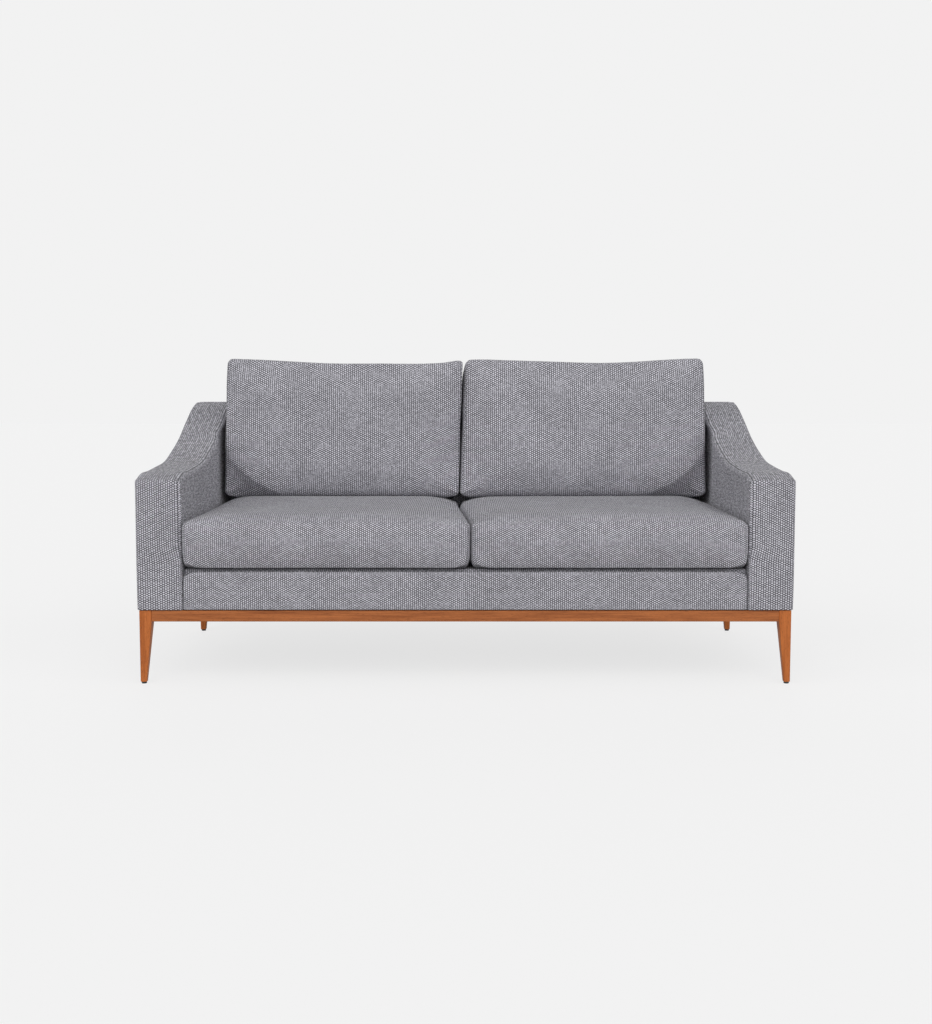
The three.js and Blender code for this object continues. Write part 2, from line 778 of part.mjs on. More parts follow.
function backCushions(name, side) {
  const zipTurn = new THREE.Matrix4().makeRotationX(-Math.PI / 2);
  const zipDown = backZipHeight - backCushion.length / 2;
  const zipPlace = new THREE.Matrix4()
    .makeTranslation(0, zipDown, -backCushion.thickness / 2)
    .multiply(zipTurn);
  const group = new THREE.Group();
  group.add(...cushionPieces(name, backCushion, zipPlace));
  group.rotation.x = Math.PI / 2 - backRecline;
  // The cushion's foot touches the seat where the rounding of its lower front edge ends
  const up = new THREE.Vector3(0, Math.sin(backRecline), Math.cos(backRecline));
  const forward = new THREE.Vector3(0, -Math.cos(backRecline), Math.sin(backRecline));
  const halfDepth = backCushion.thickness / 2;
  const slope = Math.tan(backRecline);
  const touchDepth = backCushionRearGap + backCushion.thickness - backCushion.radius;
  const padAt = (z) => backPadFoot + (z - seatDeckHeight) * slope;
  const touchY = padAt(seatDeckHeight + seatThickness + seatCrown) - touchDepth / Math.cos(backRecline);
  const touch = new THREE.Vector3(0, touchY, seatTopAt(touchY) + seatingGap - backCushionSettle);
  const centre = touch
    .addScaledVector(forward, backCushion.radius - halfDepth)
    .addScaledVector(up, backCushion.length / 2);
  centre.x = (side * (innerHalfWidth - backCushionSideGap + backCushionCentreGap / 2)) / 2;
  group.position.copy(centre);
  return group;
}

const group = new THREE.Group();
group.name = "high_back_settee";
group.add(
  ...plinthRails(),
  ...baseCorner("front_left", -1, -1),
  ...baseCorner("front_right", 1, -1),
  ...baseCorner("rear_left", -1, 1),
  ...baseCorner("rear_right", 1, 1),
  ...seatFrame(),
  ...arm("left_arm", -1),
  ...arm("right_arm", 1),
  ...back(),
  seatCushions("left_seat_cushion", -1),
  seatCushions("right_seat_cushion", 1),
  backCushions("left_back_cushion", -1),
  backCushions("right_back_cushion", 1),
);

export default group;
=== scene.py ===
import math
from types import SimpleNamespace

import bpy
import numpy as np
from mathutils import Matrix, Vector, noise
from mathutils.bvhtree import BVHTree


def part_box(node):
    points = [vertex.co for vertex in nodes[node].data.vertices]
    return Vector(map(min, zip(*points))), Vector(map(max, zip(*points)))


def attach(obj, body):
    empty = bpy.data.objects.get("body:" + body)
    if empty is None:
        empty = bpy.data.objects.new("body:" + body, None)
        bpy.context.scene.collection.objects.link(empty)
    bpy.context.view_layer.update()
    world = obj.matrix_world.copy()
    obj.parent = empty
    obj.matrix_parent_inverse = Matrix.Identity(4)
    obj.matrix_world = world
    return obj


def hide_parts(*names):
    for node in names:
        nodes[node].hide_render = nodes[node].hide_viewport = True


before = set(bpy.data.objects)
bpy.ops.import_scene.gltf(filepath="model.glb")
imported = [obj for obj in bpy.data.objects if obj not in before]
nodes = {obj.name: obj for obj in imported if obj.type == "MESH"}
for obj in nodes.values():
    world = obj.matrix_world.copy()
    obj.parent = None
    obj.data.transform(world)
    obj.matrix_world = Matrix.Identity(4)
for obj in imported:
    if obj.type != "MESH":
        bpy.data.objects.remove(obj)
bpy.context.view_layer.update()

# The photograph's camera
image_width = 932
image_height = 1024
focal_pixels = 1307.5
centre_pixel_x = 465.3
level_pixels = 113
camera_distance = 4.146
camera_height = 0.8177
sensor_size = 36

# Light
dome_strength = 0.2
lamp_angle = math.radians(60)
lamps = (
    ("key", 1.66, (0, -0.88, 0.47)),
    ("left_fill", 0.91, (-0.85, -0.5, 0.40)),
    ("right_fill", 0.91, (0.85, -0.5, 0.40)),
    ("rear", 1.3, (0, 0.97, 0.18)),
)
floor_colour = 0.887
floor_bounce = 0.4
floor_shadow_share = 0.554
floor_reach = 40

# Cloth
column_pitch = 0.0058
bead_pitch = 0.0060
bead_nesting = 0.12
bead_power = 2.2
bead_depth = 0.84
bead_tone_floor = 0.72
bead_tone_range = 0.30
yarn_wander = 0.0016
yarn_wander_scale = 26
yarn_cover = (0.28, 0.78)
arm_stretch = 1.10
back_stretch = 1.17
cloth_light = (0.66, 0.65, 0.71)
cloth_dark = (0.028, 0.028, 0.034)
# Streaks in the arm cloth's tone. Their tones also hold painted shade on the arms' tops, which come out
# darker on average, and painted light on the arms' inner sides, which come out lighter on average.
sweep_streak = 0.018
sweep_streak_and_painted_shade_tones = (0.60, 1.20)
inner_streak = 0.022
inner_streak_rows = 1.3
inner_streak_and_painted_light_tones = (0.72, 1.42)
streak_and_painted_light_faces = (0.5, 0.85)
streak_share = (0.34, 0.66)

# Wood
cherry_light = (0.445, 0.145, 0.043)
cherry_dark = (0.225, 0.062, 0.016)
leg_light = (0.52, 0.155, 0.037)
leg_dark = (0.30, 0.074, 0.014)
timber_light = (0.66, 0.47, 0.26)
timber_dark = (0.46, 0.29, 0.13)
cherry_gloss = 0.46
timber_gloss = 0.7
# Each noise in the wood: its scale across and along the grain, its detail and its roughness
wood_noises = ((75, 4, 4, 0.6), (260, 9, 3, 0.6), (1300, 70, 2, 0.6), (14, 5, 2, 0.5))

# Spacing of the meshes before they are refined
cushion_spacing = 0.0105
cover_spacing = 0.016

# Cushions
seat_thickness = 0.140
seat_radius = 0.021
seat_front_draw = 0.002
seat_nose_lift = 0.0075
seat_nose_reach = 0.055
seat_corner_lift = 0.012
seat_corner_draw = 0.012
seat_corner_reach = 0.028
seat_rear_lift = 0.003
seat_rear_depth = 0.35
back_angle = math.radians(85)
back_thickness = 0.165
back_radius = 0.020
back_side_draw = 0.0005
back_side_height_shares = (-1, -0.7, 0, 0.6, 1)
back_side_flares = (0.004, 0.003, 0, -0.0025, -0.007)
back_foot_reach = 0.04
back_head_lines = {
    -1: (
        (-1, -0.92, -0.83, -0.69, -0.3, 0.12, 0.39, 0.66, 1),
        (0.001, 0.004, 0.0095, 0.0125, 0.0125, 0.012, 0.007, 0.001, -0.004),
    ),
    1: (
        (-1, -0.87, -0.65, -0.25, 0.15, 0.42, 0.68, 0.92, 1),
        (0, -0.001, 0.0015, 0.0065, 0.0105, 0.0067, 0, -0.004, -0.004),
    ),
}
back_inner_bulge = 0.004
back_inner_power = 8
back_gap_floor = 0.0025
back_gap = 0.0025
back_gap_height = 0.73
back_gap_reach = 0.07
back_gap_slant = 0.014
crown_power = 0.6
crown_flatness = 12
crown_end_power = 3
seat_crown = 0.019
back_crown = 0.028
swell_pressure = 4
swell_quality = 4
swell_cap = 0.010
swell_frames = 20
swell_start_share = 0.8
cushion_seam_depth = 0.0014
# Each wave in a cushion's surface: its scale, its height and what it adds to the seed
cushion_waves = ((6.5, 0.0022, 0), (17, 0.0007, 5))
back_corner_pinch = 0.040
back_corner_width = 0.230
back_corner_height = 0.175
back_corner_power = 0.7
back_corner_softness = 0.30
back_corner_side = 0.045
back_corner_floor = 0.35
core_inset = 0.0085
core_radius = 0.018
core_spacing = 0.03
clearance = 0.0008
arm_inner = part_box("right_arm_cover")[0].x - clearance

# Zips of the cushions
zip_length = 0.600
zip_tape_width = 0.020
zip_tape_height = 0.0015
zip_channel = 0.0028
zip_tape_edge = 0.0005
zip_tooth_size = (0.0018, 0.0012, 0.0026)
zip_tooth_edge = 0.0004
zip_spacing = 0.01
zip_pitch = 0.003
back_zip_height = 0.070

# Where the cushions part: across the settee, at the front and behind, and low and high
seat_part_front = 0.0175
seat_part_rear = -0.020
seat_part_depth = 0.58
back_part_foot = -0.0195
back_part_head = -0.002

# Arms and body
arm_radius = 0.011
arm_outer_edge = 0.006
arm_inner_edge = 0.016
arm_front_edge = 0.016
arm_low_edge = 0.007
arm_low_top = 0.45
arm_low_fade = 0.06
# How much shade is painted along the arms' seams.
arm_seam_painted_shade = 0.82
arm_recess = 0.008
arm_recess_front = 0.160
arm_recess_run = 0.012
arm_recess_top = 0.735
arm_recess_fade = 0.03
arm_bulge = 0.0025
arm_top_bulge = 0.0008
arm_wave_height = 0.0006
arm_wave_scale = 9
border_radius = 0.010
border_bulge = 0.0022
border_bulge_power = 0.4
border_drop = 0.0015
border_fall = 0.008
border_end_drop = 0.011
border_end_draw = 0.006
border_end_reach = 0.020
border_drop_power = 3
border_draw_power = 6
foot_edge = 0.003
deck_radius = 0.005
back_pad_thickness = 0.014
back_pad_radius = 0.013
back_pad_arc_steps = 5
back_bulge = 0.006
back_spacing = 0.012
outside_back_edge = 0.0014
outside_back_corner = 0.013
outside_back_bulge = 0.002
outside_back_bulge_power = 0.35
dust_sag = 0.005
dust_sag_power = 1.5
dust_lines = (149, 71)
dust_thickness = 0.0008

# Glides
glide_height = 0.006
glide_edge = 0.0012
glide_stem = 0.00225
glide_arc_points = 6
glide_sides = 48


# Mesh work: a block with rounded edges, from a lattice of lines

def lines_across(half, radius, spacing, arc_steps):
    """Lines across one face of a rounded block: where they cut it, and how far they lie round its edge."""
    core = half - radius
    count = max(2, 2 * round(core / spacing))
    flat = np.linspace(-core, core, count + 1)
    angle = np.arange(1, arc_steps + 1) / arc_steps * math.pi / 4
    cube = core + radius * np.tan(angle)
    arc = core + radius * angle
    return np.concatenate([-cube[::-1], flat, cube]), np.concatenate([-arc[::-1], flat, arc])


def quads_of(grid):
    """The four corners of each cell of a grid, in order round the cell."""
    return np.stack([grid[:-1, :-1], grid[1:, :-1], grid[1:, 1:], grid[:-1, 1:]], 2)


def rounded_block(size, radius, spacing, arc_steps=3):
    """A block of quads centred on the origin: its points, their steps on the lattice, and its faces."""
    lines = [lines_across(length / 2, radius, spacing, arc_steps) for length in size]
    cube = [line[0] for line in lines]
    arc = [line[1] for line in lines]
    last = [len(line) - 1 for line in cube]
    corners = []
    sides = []
    for axis in range(3):
        a = (axis + 1) % 3
        b = (axis + 2) % 3
        for high in (False, True):
            grid = np.zeros((last[a] + 1, last[b] + 1, 3), int)
            grid[..., axis] = last[axis] * high
            grid[..., a] = np.arange(last[a] + 1)[:, None]
            grid[..., b] = np.arange(last[b] + 1)[None, :]
            found = quads_of(grid)[:, :, :: 1 if high else -1].reshape(-1, 4, 3)
            corners.append(found)
            sides += [(axis, high)] * len(found)
    corners = np.concatenate(corners)
    steps, index = np.unique(corners.reshape(-1, 3), axis=0, return_inverse=True)
    points = np.stack([cube[axis][steps[:, axis]] for axis in range(3)], axis=1)
    core = np.array(size) / 2 - radius
    inner = np.clip(points, -core, core)
    out = points - inner
    points = inner + out * (radius / np.linalg.norm(out, axis=1))[:, None]
    return SimpleNamespace(
        size=np.array(size),
        points=points,
        steps=steps,
        last=np.array(last),
        arc=arc,
        faces=index.reshape(-1, 4),
        corners=corners,
        axis=np.array([side[0] for side in sides]),
        high=np.array([side[1] for side in sides]),
    )


def wrapped_cloth(block, stretch=1):
    """Cloth coordinates at each face corner: one band round the block across X, and a panel on each side."""
    arcs = [block.arc[axis][block.corners[..., axis]] for axis in range(3)]
    reach_y = block.arc[1][-1]
    reach_z = block.arc[2][-1]
    axis = block.axis[:, None]
    high = block.high[:, None]
    front_or_rear = np.where(high, reach_y + reach_z - arcs[2], arcs[2] - reach_z - reach_y)
    top_or_bottom = np.where(high, arcs[1], -2 * (reach_y + reach_z) - arcs[1])
    across = np.where(axis == 0, arcs[1], arcs[0])
    along = np.where(axis == 0, arcs[2], np.where(axis == 1, front_or_rear, top_or_bottom))
    return np.stack([across, along], axis=2) / stretch


def side_seams(block):
    """1 on the two loops where the side panels are sewn to the band, 0 elsewhere."""
    outer = (block.steps == 0) | (block.steps == block.last)
    return (outer[:, 0] & (outer[:, 1] | outer[:, 2])).astype(float)


def set_weight(mesh, name, values):
    """Gives each point of a mesh a weight of its own."""
    weights = mesh.attributes.new(name, "FLOAT", "POINT")
    weights.data.foreach_set("value", np.asarray(values, np.float32))


def shares_of(block):
    """Where each point lies between a block's faces, from -1 to 1 on each axis, and how near the middle."""
    share = block.points / (block.size / 2)
    return share.T, np.clip(1 - share**2, 0, None).T


def mesh_piece(name, points, faces, cloth=None, seam=0):
    """A smooth mesh object. One of cloth also has its cloth coordinates and the weight of its seams."""
    mesh = bpy.data.meshes.new(name)
    mesh.from_pydata(np.asarray(points).tolist(), [], [list(map(int, face)) for face in faces])
    mesh.polygons.foreach_set("use_smooth", [True] * len(mesh.polygons))
    if cloth is not None:
        layer = mesh.uv_layers.new(name="weave")
        layer.uv.foreach_set("vector", np.asarray(cloth, np.float32).ravel())
        set_weight(mesh, "seam", np.zeros(len(points)) + seam)
    mesh.update()
    piece = bpy.data.objects.new(name, mesh)
    bpy.context.scene.collection.objects.link(piece)
    return piece


def read(items, key, width):
    """A property of all items, as an array with a row for each."""
    flat = np.zeros(len(items) * width, np.float32)
    items.foreach_get(key, flat)
    return flat.reshape(-1, width).astype(float)


def points_of(mesh):
    """A mesh's points as an array."""
    return read(mesh.vertices, "co", 3)


def weight_of(mesh, name):
    """A weight of each point, as an array."""
    return read(mesh.attributes[name].data, "value", 1)[:, 0]


def place_points(mesh, points):
    """Moves a mesh's points."""
    mesh.vertices.foreach_set("co", np.asarray(points, np.float32).ravel())
    mesh.update()


def push_out(mesh, distances):
    """Moves each point by its own distance the way it faces."""
    place_points(mesh, points_of(mesh) + read(mesh.vertex_normals, "vector", 3) * distances[:, None])


def baked_mesh(piece):
    """The piece's mesh with its modifiers applied."""
    graph = bpy.context.evaluated_depsgraph_get()
    return bpy.data.meshes.new_from_object(
        piece.evaluated_get(graph), preserve_all_data_layers=True, depsgraph=graph
    )


def refine(piece):
    """One level of subdivision, applied."""
    fine = piece.modifiers.new("fine", "SUBSURF")
    fine.levels = 1
    fine.render_levels = 1
    mesh = baked_mesh(piece)
    piece.modifiers.clear()
    piece.data = mesh


def swell(piece, pinned):
    """Blows the cover up as sewn cloth held at its pinned points, and stops each point at the cap."""
    before = points_of(piece.data)
    group = piece.vertex_groups.new(name="pinned")
    group.add(np.flatnonzero(pinned).tolist(), 1, "REPLACE")
    cloth = piece.modifiers.new("swell", "CLOTH")
    cloth.settings.quality = swell_quality
    cloth.settings.use_pressure = True
    cloth.settings.uniform_pressure_force = swell_pressure
    cloth.settings.effector_weights.gravity = 0
    cloth.settings.vertex_group_mass = "pinned"
    cloth.point_cache.frame_start = 1
    cloth.point_cache.frame_end = swell_frames
    for step in range(1, swell_frames + 1):
        bpy.context.scene.frame_set(step)
    swollen = baked_mesh(piece)
    move = points_of(swollen) - before
    piece.modifiers.clear()
    piece.vertex_groups.clear()
    bpy.context.scene.frame_set(1)
    length = np.linalg.norm(move, axis=1)
    allowed = np.minimum(length, swell_cap) / np.maximum(length, 1e-9)
    place_points(piece.data, before + move * allowed[:, None])


def unevenness(points, scale, seed):
    """Smooth noise from -1 to 1 at each point."""
    shift = Vector((seed, seed * 2, seed * 3))
    return np.array([noise.noise(Vector(point) * scale + shift) for point in points])


def line_through(x, known_x, known_y):
    """A smooth curve through known points."""
    slope = np.gradient(known_y, known_x)
    index = np.clip(np.searchsorted(known_x, x) - 1, 0, len(known_x) - 2)
    step = known_x[index + 1] - known_x[index]
    t = np.clip((x - known_x[index]) / step, 0, 1)
    start = known_y[index] * (2 * t**3 - 3 * t**2 + 1) + slope[index] * step * (t**3 - 2 * t**2 + t)
    end = known_y[index + 1] * (3 * t**2 - 2 * t**3) + slope[index + 1] * step * (t**3 - t**2)
    return start + end


# Materials

class Nodes:
    """An emptied node tree, with short names for what the recipes below use."""

    def __init__(self, owner):
        owner.use_nodes = True
        self.tree = owner.node_tree
        self.tree.nodes.clear()

    def add(self, kind, inputs=None, **settings):
        node = self.tree.nodes.new("ShaderNode" + kind)
        for key, value in settings.items():
            setattr(node, key, value)
        for socket, value in (inputs or {}).items():
            self.feed(node.inputs[socket], value)
        return node

    def feed(self, socket, value):
        if isinstance(value, bpy.types.NodeSocket):
            self.tree.links.new(value, socket)
        else:
            socket.default_value = value

    def math(self, operation, a, b=0.0):
        return self.add("Math", {0: a, 1: b}, operation=operation).outputs[0]

    def plus(self, a, b):
        return self.math("ADD", a, b)

    def minus(self, a, b):
        return self.math("SUBTRACT", a, b)

    def times(self, a, b):
        return self.math("MULTIPLY", a, b)

    def hump(self, turns, power):
        """0 at whole turns, and rising to 1 halfway between them."""
        from_middle = self.math("ABSOLUTE", self.minus(self.times(self.math("FRACT", turns), 2.0), 1.0))
        return self.minus(1.0, self.math("POWER", from_middle, power))

    def noise(self, place, scale, detail=2.0, roughness=0.5):
        inputs = {"Vector": place, "Scale": scale, "Detail": detail, "Roughness": roughness}
        return self.add("TexNoise", inputs).outputs["Fac"]

    def spread(self, value, low, high, to_low=0.0, to_high=1.0):
        inputs = dict(enumerate((value, low, high, to_low, to_high)))
        return self.add("MapRange", inputs, interpolation_type="SMOOTHSTEP").outputs[0]

    def blend(self, share, a, b, mode="MIX"):
        a, b = (item if isinstance(item, bpy.types.NodeSocket) else (*item, 1) for item in (a, b))
        inputs = {"Factor": share, "A": a, "B": b}
        return self.add("Mix", inputs, data_type="RGBA", blend_type=mode).outputs["Result"]

    def stretch(self, place, scale):
        return self.add("VectorMath", {0: place, 1: scale}, operation="MULTIPLY").outputs[0]

    def bump(self, height, distance, strength, under=None):
        inputs = {"Strength": strength, "Distance": distance, "Height": height}
        if under is not None:
            inputs["Normal"] = under
        return self.add("Bump", inputs).outputs["Normal"]

    def split(self, vector):
        return self.add("SeparateXYZ", {0: vector}).outputs

    def seen_share(self):
        """1 where the camera looks, straight or by reflection or through glass, and 0 for light on things."""
        path = self.add("LightPath")
        rays = self.math("MAXIMUM", path.outputs["Is Camera Ray"], path.outputs["Is Glossy Ray"])
        return self.math("MAXIMUM", rays, path.outputs["Is Transmission Ray"])


class Shading(Nodes):
    """A new material whose surface is one principled shader."""

    inputs = {
        "colour": "Base Color",
        "metal": "Metallic",
        "roughness": "Roughness",
        "specular": "Specular IOR Level",
        "sheen": "Sheen Weight",
        "sheen_roughness": "Sheen Roughness",
        "normal": "Normal",
    }

    def __init__(self, name):
        self.material = bpy.data.materials.new(name)
        super().__init__(self.material)
        self.shader = self.add("BsdfPrincipled")
        self.output = self.add("OutputMaterial")
        self.place = self.add("TexCoord").outputs["Object"]
        self.feed(self.output.inputs["Surface"], self.shader.outputs["BSDF"])

    def surface(self, **looks):
        """Sets or links the shader's inputs, and gives the finished material."""
        for name, value in looks.items():
            self.feed(self.shader.inputs[self.inputs[name]], value)
        return self.material


def darker(colour, share):
    """A share of a colour."""
    return tuple(part * share for part in colour)


def grey(level):
    """A grey, with its alpha."""
    return (level, level, level, 1)


def streaked_with_painted_light(s, weave, tone):
    """Soft streaks in the yarn's tone on the arms, with painted shade on their tops and painted light on
    their inner sides: on average the tops come out darker and the inner sides lighter.
    """
    facing = s.split(s.add("TexCoord").outputs["Normal"])
    side = s.math("SIGN", s.split(s.place)["X"])
    inward = s.times(s.times(facing["X"], side), -1)
    for towards, size, tones in (
        (facing["Z"], (1 / column_pitch, 1 / sweep_streak, 0), sweep_streak_and_painted_shade_tones),
        (inward, (1 / inner_streak, inner_streak_rows / bead_pitch, 0), inner_streak_and_painted_light_tones),
    ):
        streak = s.noise(s.stretch(weave, size), 1.0, 1)
        change = s.spread(streak, *streak_share, tones[0] - 1, tones[1] - 1)
        tone = s.times(tone, s.plus(s.times(s.spread(towards, *streak_and_painted_light_faces), change), 1))
    return tone


def woven_cloth(name, streaks):
    """Beads of light yarn in columns, each half a bead out of step with the next, with dark yarn between."""
    s = Shading(name)
    weave = s.add("UVMap", uv_map="weave").outputs["UV"]
    wander = s.times(s.minus(s.noise(s.place, yarn_wander_scale, 1), 0.5), yarn_wander)
    parts = s.split(weave)
    even_across = s.math("DIVIDE", s.plus(parts["X"], wander), column_pitch)
    even_along = s.math("DIVIDE", s.plus(parts["Y"], wander), bead_pitch)
    column_wave = s.math("COSINE", s.times(even_across, math.pi))
    bead_wave = s.math("COSINE", s.times(even_along, math.tau))
    across = s.minus(even_across, s.times(s.times(column_wave, bead_wave), bead_nesting))
    which_column = s.math("FLOOR", across)
    odd = s.math("FLOORED_MODULO", which_column, 2.0)
    along = s.plus(even_along, s.times(odd, 0.5))
    bead = s.plus(s.times(s.hump(along, bead_power), bead_depth), 1 - bead_depth)
    height = s.times(s.hump(across, 2.0), bead)
    number = s.add("CombineXYZ", {0: which_column, 1: s.math("FLOOR", along)}).outputs[0]
    chance = s.add("TexWhiteNoise", {"Vector": number}, noise_dimensions="2D").outputs["Value"]
    fibre = s.noise(s.stretch(s.place, (1.0, 1.0, 0.5)), 1500, 2, 0.7)
    patch = s.noise(s.place, 9, 2, 0.5)
    tone = s.plus(s.times(chance, bead_tone_range), bead_tone_floor)
    tone = s.times(tone, s.spread(fibre, 0.25, 0.75, 0.86, 1.1))
    tone = s.times(tone, s.spread(patch, 0.3, 0.7, 0.95, 1.05))
    # On the arms: streaks in the yarn's tone, with painted shade on the tops and painted light on the inner
    # sides.
    if streaks:
        tone = streaked_with_painted_light(s, weave, tone)
    colour = s.blend(s.spread(height, *yarn_cover), cloth_dark, cloth_light)
    shade = s.add("CombineColor", {0: tone, 1: tone, 2: tone}).outputs[0]
    colour = s.blend(1.0, colour, shade, "MULTIPLY")
    # Painted shade: the cloth is darkened towards its dark yarn along the seams, where the sewn crease falls
    # in shade.
    seam = s.add("Attribute", attribute_name="seam").outputs["Fac"]
    colour = s.blend(s.spread(seam, 0.72, 1.0, 0.0, 0.4), colour, cloth_dark)
    normal = s.bump(height, 0.0011, 0.7, under=s.bump(fibre, 0.0003, 0.4))
    s.surface(sheen=0.12, sheen_roughness=0.6)
    return s.surface(colour=colour, roughness=0.92, specular=0.18, normal=normal)


def grained_wood(name, light, dark, grain, gloss):
    """Straight-grained timber: long streaks and short pores that run along one axis."""
    s = Shading(name)
    along = Vector(grain)
    across = Vector((1, 1, 1)) - along
    streak, ring, pore, patch = (
        s.noise(s.stretch(s.place, tuple(across * fine + along * coarse)), 1.0, detail, roughness)
        for fine, coarse, detail, roughness in wood_noises
    )
    share = s.plus(s.times(streak, 0.55), s.times(ring, 0.45))
    colour = s.blend(s.spread(share, 0.32, 0.64), dark, light)
    colour = s.blend(s.spread(patch, 0.3, 0.75, 0.0, 0.35), colour, light)
    colour = s.blend(s.spread(pore, 0.57, 0.70, 0.0, 0.8), colour, darker(dark, 0.35))
    roughness = s.spread(share, 0.2, 0.8, gloss + 0.1, gloss)
    normal = s.bump(s.plus(s.times(pore, -0.6), ring), 0.0002, 0.5)
    return s.surface(colour=colour, roughness=roughness, specular=0.22, normal=normal)


def soft_foam(name, colour):
    """Open-celled foam with fine dimples."""
    s = Shading(name)
    cells = s.add("TexVoronoi", {"Vector": s.place, "Scale": 420}).outputs["Distance"]
    patch = s.noise(s.place, 14, 3)
    deep = darker(colour, 0.72)
    shade = s.blend(s.spread(cells, 0.1, 0.6), colour, deep)
    shade = s.blend(s.spread(patch, 0.3, 0.7, 0, 0.3), shade, deep)
    return s.surface(colour=shade, roughness=0.95, normal=s.bump(cells, 0.001, 0.6))


def thin_weave(name, light, dark, pitch):
    """A tight plain weave in two directions, for webbing, tape and dust cloth."""
    s = Shading(name)
    waves = [s.math("SINE", s.times(part, math.tau / pitch)) for part in s.split(s.place)]
    height = s.plus(s.plus(waves[0], waves[1]), waves[2])
    patch = s.noise(s.place, 30, 3)
    share = s.plus(s.spread(height, -1.5, 1.5), s.minus(patch, 0.5))
    normal = s.bump(height, pitch * 0.12, 0.5)
    return s.surface(colour=s.blend(share, dark, light), roughness=0.9, specular=0.2, normal=normal)


def moulded_plastic(name, colour):
    """Black plastic with a fine moulded grain."""
    s = Shading(name)
    grain = s.noise(s.place, 900, 2)
    worn = s.noise(s.place, 120, 3)
    pale = tuple(part * 2.2 + 0.004 for part in colour)
    shade = s.blend(s.spread(worn, 0.4, 0.75), colour, pale)
    roughness = s.spread(worn, 0.3, 0.7, 0.42, 0.6)
    return s.surface(colour=shade, roughness=roughness, normal=s.bump(grain, 0.0002, 0.4))


def plated_metal(name, colour, roughness):
    """Plated metal with fine scratches and a slightly cloudy finish."""
    s = Shading(name)
    cloud = s.noise(s.place, 90, 3)
    scratch = s.noise(s.stretch(s.place, (1, 1, 14)), 700, 2)
    shade = s.blend(s.spread(cloud, 0.3, 0.7), darker(colour, 0.7), colour)
    gloss = s.spread(scratch, 0.3, 0.7, roughness, roughness + 0.18)
    return s.surface(colour=shade, metal=1, roughness=gloss, normal=s.bump(scratch, 0.0001, 0.3))


cloth = woven_cloth("grey_cloth", streaks=False)
# The arms' cloth carries painted shade on its tops and painted light on its inner sides.
arm_cloth = woven_cloth("grey_arm_cloth_painted_light", streaks=True)
cherry = {}
timber = {}
for way, grain in (("across", (1, 0, 0)), ("deep", (0, 1, 0)), ("upright", (0, 0, 1))):
    tones = (leg_light, leg_dark) if way == "upright" else (cherry_light, cherry_dark)
    cherry[way] = grained_wood("cherry_" + way, *tones, grain, cherry_gloss)
    timber[way] = grained_wood("timber_" + way, timber_light, timber_dark, grain, timber_gloss)
foam = soft_foam("foam", (0.79, 0.72, 0.53))
strap_weave = thin_weave("strap_weave", (0.07, 0.064, 0.055), (0.02, 0.018, 0.016), 0.0032)
dust_weave = thin_weave("dust_weave", (0.02, 0.02, 0.023), (0.006, 0.006, 0.007), 0.0018)
black_plastic = moulded_plastic("black_plastic", (0.01, 0.01, 0.01))
zinc = plated_metal("zinc", (0.5, 0.52, 0.53), 0.28)
zip_metal = plated_metal("zip_metal", (0.14, 0.14, 0.15), 0.3)


def finish_frame():
    """The finish of each node that the frame shows as it is."""
    across = ("front_plinth_rail", "rear_plinth_rail", "seat_front_rail", "seat_rear_rail")
    endings = (
        ("_leg", cherry["upright"]),
        ("_bolt", zinc),
        ("_slider", zip_metal),
        ("webbing", strap_weave),
        ("_post", timber["upright"]),
        ("_block", timber["across"]),
    )
    for name, node in nodes.items():
        material = next((material for ending, material in endings if name.endswith(ending)), None)
        if name.endswith("_rail"):
            way = "across" if name in across or name.startswith("back_") else "deep"
            material = (cherry if "plinth" in name else timber)[way]
        if material is not None:
            node.data.materials.clear()
            node.data.materials.append(material)


def dress(piece, material, slot, body, *replaced):
    """Gives a piece its material and body, and hides the nodes it stands for. Its slot is not used."""
    piece.data.materials.clear()
    piece.data.materials.append(material)
    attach(piece, body)
    if replaced:
        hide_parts(*replaced)


def upholster(piece, body, node, material=cloth):
    """Dresses a padded piece in the grey cloth."""
    dress(piece, material, "upholstery", body, node)


# Cushions

def turned(points, angle):
    """Points seen from a frame that is turned about X by the angle."""
    return points @ np.array(Matrix.Rotation(angle, 3, "X"))


def cushion_place(node, angle, thickness, tape_axis=None):
    """A node's cushion in its own flat frame, less the zip tape on one face: its middle, size and crown."""
    points = turned(points_of(nodes[node].data), angle)
    low = points.min(0)
    high = points.max(0)
    if tape_axis == 1:
        high[1] -= zip_tape_height
    if tape_axis == 2:
        low[2] += zip_tape_height
    centre = np.array([(low[0] + high[0]) / 2, (low[1] + high[1]) / 2, low[2] + thickness / 2])
    return centre, (high[0] - low[0], high[1] - low[1], thickness), high[2] - low[2] - thickness


def crown_at(across, along):
    """How much of the crown stands at a share of the way from the middle to the sides and ends."""
    over_width = np.clip(1 - np.abs(across) ** crown_flatness, 0, None)
    return (over_width * np.clip(1 - np.abs(along) ** crown_end_power, 0, None)) ** crown_power


def cushion_form(block, crown, side_draw=0, front_draw=0):
    """A flat cushion's form: crowned above, and drawn in at its sides and front between the corners."""
    points = block.points.copy()
    across, along, up = (points / (block.size / 2)).T
    points[:, 0] -= across * side_draw * (1 - along**2)
    points[:, 1] -= np.minimum(along, 0) * front_draw * (1 - across**2)
    points[:, 2] += crown * crown_at(across, along) * (1 + up) / 2
    return points


